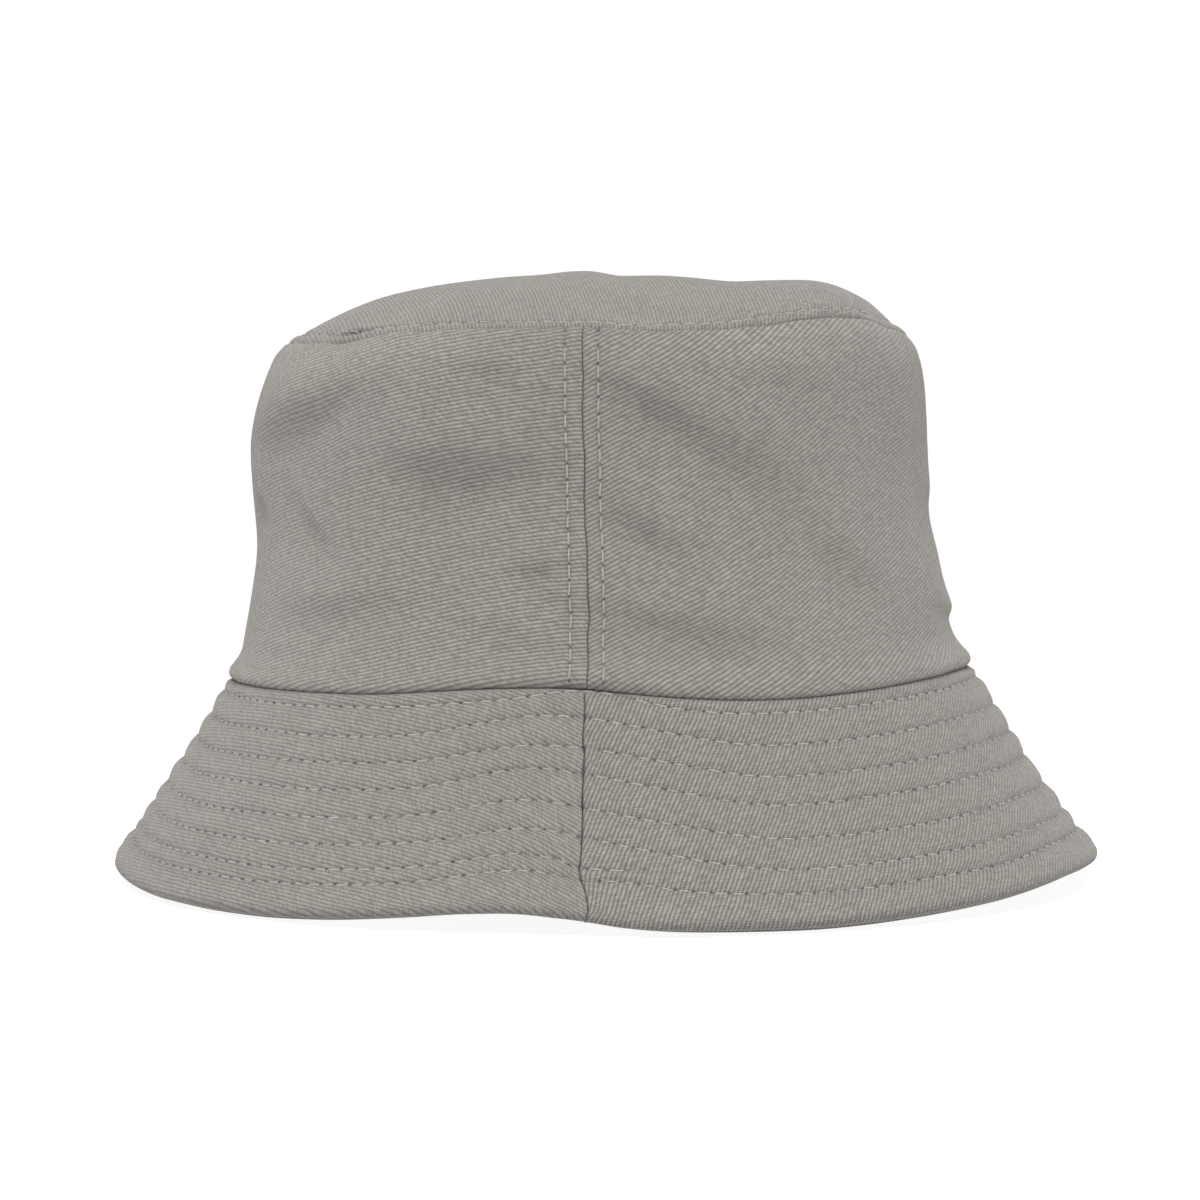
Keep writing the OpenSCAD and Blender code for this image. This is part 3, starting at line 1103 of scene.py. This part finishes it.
def quilting_paths(under=False):
    """The ring near the rim, and the spiral in the order in which it is sewn."""
    edge = 1e-3
    start_phase = row_phase(1, -1.0)
    paths = [along_brim(START_ARC, 0, start_place, start_phase, under)]
    for n in ROWS:
        place = partial(row_place, n=n)
        last = arc(LAST_ANGLE) if n == ROWS[-1] else edge
        paths.append(along_brim(-edge, -HALF, place, row_phase(n, -1.0), under))
        paths.append(along_brim(HALF, last, place, row_phase(n, 1.0), under))
    return paths


def top_paths():
    s = np.linspace(-HALF, HALF, 900)
    a = angle_at(s)
    d = top_row(a)
    point, normal = surface(top_base, a, d)
    return [(raised(point, normal, top_relief(a, d)), normal, s * TOP_R / BASE_R)]


def side_paths(middle):
    """Rows up the crown on both sides of a side seam, on the outside and on the tape inside."""
    outside = np.linspace(1.6, HEIGHT - 1.2, 200) / HEIGHT
    inside = (np.linspace(TAPE_LOW + 1, TAPE_HIGH - 1, 160) - SEAM_Z) / HEIGHT
    right_way = 1 if middle == 0 else -1
    paths = []
    for offset in (right_way * RIGHT_STITCH, -right_way * LEFT_STITCH):
        for t, depth in ((outside, None), (inside, SIDE_TAPE_BACK)):
            s = arc(middle) + offset * BASE_R / crown_radius(middle, t)
            a = angle_at((s + HALF) % (2 * HALF) - HALF)
            point, normal = surface(crown_base, a, t)
            height = crown_relief(a, t) if depth is None else 0 * t - depth
            facing = normal if depth is None else -normal
            paths.append((raised(point, normal, height), facing, side_row_run(t)))
    return paths


# ---- Inside: sweatband, tapes and label ----

BAND_DEPTH = 3.1
BAND_CLOTH = 1.0


def band_depth(a, t):
    """How far the sweatband is inside the crown; its hem leans in where the label pulls at it."""
    loose = 0.15 * (1 + uneven(arc(a), 19, t * HEIGHT / 26, 31))
    pulled = 1.3 * bell(arc_from(a, -90.0), 16) * step(t * HEIGHT, 20, 33)
    return BAND_DEPTH + loose + pulled


def inside_sheet(node, base, a, t, depth, thick, material, slot):
    """A sheet all round the inside of the crown."""
    point, normal = surface(base, a, t)
    pattern = np.stack([arc(a), t * HEIGHT], axis=-1) * MM
    outer, inner = (raised(point, normal, -d)[:, :-1] for d in (depth, depth + thick))
    return sheet_mesh(node, outer, inner, {"cloth": pattern}, material, closed=True, slot=slot)


def make_sweatband():
    heights = np.linspace(SEAM_Z + 0.5, BAND_TOP, 30)
    a, t = np.meshgrid(np.linspace(-180, 180, 361), (heights - SEAM_Z) / HEIGHT)
    depth = band_depth(a, t)
    return inside_sheet("sweatband", lining_base, a, t, depth, BAND_CLOTH, band_twill, "sweatband")


def make_top_tape():
    heights = np.linspace(TOP_TAPE_LOW, TOP_Z - 1.5, 10)
    a, t = np.meshgrid(np.linspace(-180, 180, 361), (heights - SEAM_Z) / HEIGHT)
    depth, thick = 2.15, 0.5
    return inside_sheet("top_seam_tape", crown_base, a, t, depth, thick, tape_weave, "seam_tape")


def side_tape(name, middle):
    s = np.linspace(-TAPE_WIDTH / 2, TAPE_WIDTH / 2, 15)
    columns = angle_at(s) if middle == 0 else 180 + angle_at(s)
    a, t = np.meshgrid(columns, (np.linspace(TAPE_LOW, TAPE_HIGH, 60) - SEAM_Z) / HEIGHT)
    point, normal = surface(crown_base, a, t)
    pattern = np.stack([np.broadcast_to(s, a.shape), t * HEIGHT], axis=-1) * MM
    node = f"side_seam_tape_{name}"
    outer, inner = (raised(point, normal, -d) for d in (SIDE_TAPE_DEPTH, SIDE_TAPE_BACK))
    return sheet_mesh(node, outer, inner, {"cloth": pattern}, tape_weave, slot="seam_tape")


def hem_path(z):
    s = np.linspace(-HALF, HALF, 900)
    a = angle_at(s)
    t = np.full_like(a, (z - SEAM_Z) / HEIGHT)
    point, normal = surface(lining_base, a, t)
    return raised(point, normal, -(band_depth(a, t) + BAND_CLOTH)), -normal, s * 0.93


def make_label():
    """A blank folded label that hangs from the sweatband's hem, with a slight curl at its corner."""
    low, high = box_mm("care_label")
    u, v = np.meshgrid(np.linspace(-1, 1, 25), np.linspace(0, 1, 31))
    width, drop = (high[1] - low[1]) / 2, high[2] - low[2]
    y, z = (low[1] + high[1]) / 2 + 0.995 * width * u, low[2] + drop * v
    hem = step(v, 0.86, 0.93)
    x = high[0] + 0.5 * (1 - u**2) * (0.3 + 0.7 * v) + 0.9 * bell(v, 0.25) * (1 + 0.5 * u)
    face = np.stack([x + 0.25 * hem, y, z], axis=-1)
    back = np.stack([x - 0.28 - 0.6 * hem, y, z], axis=-1)
    pattern = np.stack([u * width, v * drop], axis=-1) * MM
    layers = {"cloth": pattern}
    return sheet_mesh("care_label", face, back, layers, label_satin, body="label", slot="label")


# ---- Making the hat ----


CROWN_FAN = 0.94
BRIM_FAN = 0.88
BRIM_CUT = 1.3 * HALF
TOP_TAPE_CUT = 0.85


def cut_size(piece, width, length, share=1.0, held="stretched", **facts):
    """Turns a cut size in millimetres into metres and keeps nothing; share, the cloth's part of it, is not
    used.
    """
    width, length = float(width) * MM, float(length) * MM


for half, side in SIDES.items():
    cut_size(crown_panel(half, side), HALF, HEIGHT + 3, CROWN_FAN)
    cut_size(brim_upper(half, side), BRIM_CUT, BRIM_WIDTH + 10, BRIM_FAN)
    cut_size(brim_under(half, side), BRIM_CUT, BRIM_WIDTH + 10, BRIM_FAN)
    cut_size(brim_interlining(half, side), BRIM_CUT, BRIM_WIDTH - 6, BRIM_FAN)
cut_size(make_top_panel(), 2 * TOP_R + 16, 2 * TOP_R * NARROW + 16, math.pi / 4)
cut_size(make_sweatband(), 2 * HALF, BAND_TOP - SEAM_Z, held="folded")
cut_size(make_top_tape(), 2 * HALF * 0.88, 10.2, TOP_TAPE_CUT, held="folded")
for name, middle in SEAMS.items():
    cut_size(side_tape(name, middle), TAPE_WIDTH, TAPE_HIGH - TAPE_LOW)
cut_size(make_label(), 24, 30, held="hung", rests_on=["sweatband"])

thread_piece("brim_quilting_thread", quilting_paths(), seed=21, radius=0.17, rise=0.28)
thread_piece("brim_bobbin_thread", quilting_paths(under=True), seed=22, sides=5)
thread_piece("brim_join_topstitch", [along_brim(-HALF, HALF, join_place, JOIN_PHASE)], seed=23, rise=0.3)
thread_piece("top_panel_topstitch", top_paths(), seed=24)
for seed, (name, middle) in enumerate(SEAMS.items(), 25):
    thread_piece(f"side_seam_topstitch_{name}", side_paths(middle), pitch=SIDE_PITCH, seed=seed)
hem_paths = [hem_path(BAND_TOP - 4), hem_path(SEAM_Z + 3)]
thread_piece("sweatband_hem_stitch", hem_paths, pitch=HEM_PITCH, seed=27)

# ---- Floor, lights and world ----


def make_floor():
    bpy.ops.mesh.primitive_circle_add(vertices=96, radius=0.36, fill_type="NGON", location=(0, 0, -0.0002))
    floor = bpy.context.object
    floor.name = "floor"
    floor.data.materials.append(floor_material("studio_floor"))


def soft_box(name, place, size, power):
    data = bpy.data.lights.new(name, "AREA")
    data.shape = "RECTANGLE"
    data.size, data.size_y = size
    data.energy = power
    lamp = bpy.data.objects.new(name, data)
    bpy.context.scene.collection.objects.link(lamp)
    lamp.location = place
    lamp.rotation_euler = (Vector(place) - Vector((0, 0, 0.08))).to_track_quat("Z", "Y").to_euler()


def white_world(above, below):
    """A world that looks white, and lights the scene more softly, mostly from above."""
    world = bpy.data.worlds.new("world")
    world.use_nodes = True
    nodes, links = world.node_tree.nodes, world.node_tree.links
    split = nodes.new("ShaderNodeSeparateXYZ")
    links.new(nodes.new("ShaderNodeTexCoord").outputs["Generated"], split.inputs[0])
    soft = nodes.new("ShaderNodeMapRange")
    for socket, value in zip(soft.inputs[1:5], (-0.3, 0.4, below, above)):
        socket.default_value = value
    links.new(split.outputs["Z"], soft.inputs[0])
    choice = nodes.new("ShaderNodeMix")
    links.new(nodes.new("ShaderNodeLightPath").outputs["Is Camera Ray"], choice.inputs["Factor"])
    links.new(soft.outputs[0], choice.inputs["A"])
    choice.inputs["B"].default_value = 1.02
    nodes["Background"].inputs["Color"].default_value = (1, 1, 1, 1)
    links.new(choice.outputs["Result"], nodes["Background"].inputs["Strength"])
    bpy.context.scene.world = world
    bpy.context.scene.view_settings.view_transform = "Standard"


make_floor()
soft_box("front_light", (-0.05, -1.15, 1.7), (1.2, 1.2), 27.2)
soft_box("left_light", (-1.8, -0.1, -0.1), (1.2, 0.5), 5.6)
soft_box("right_light", (1.8, -0.3, -0.1), (1.2, 0.5), 5.2)
soft_box("back_light", (0.3, 1.9, 1.4), (1.6, 1.2), 14)
white_world(above=0.42, below=0.16)
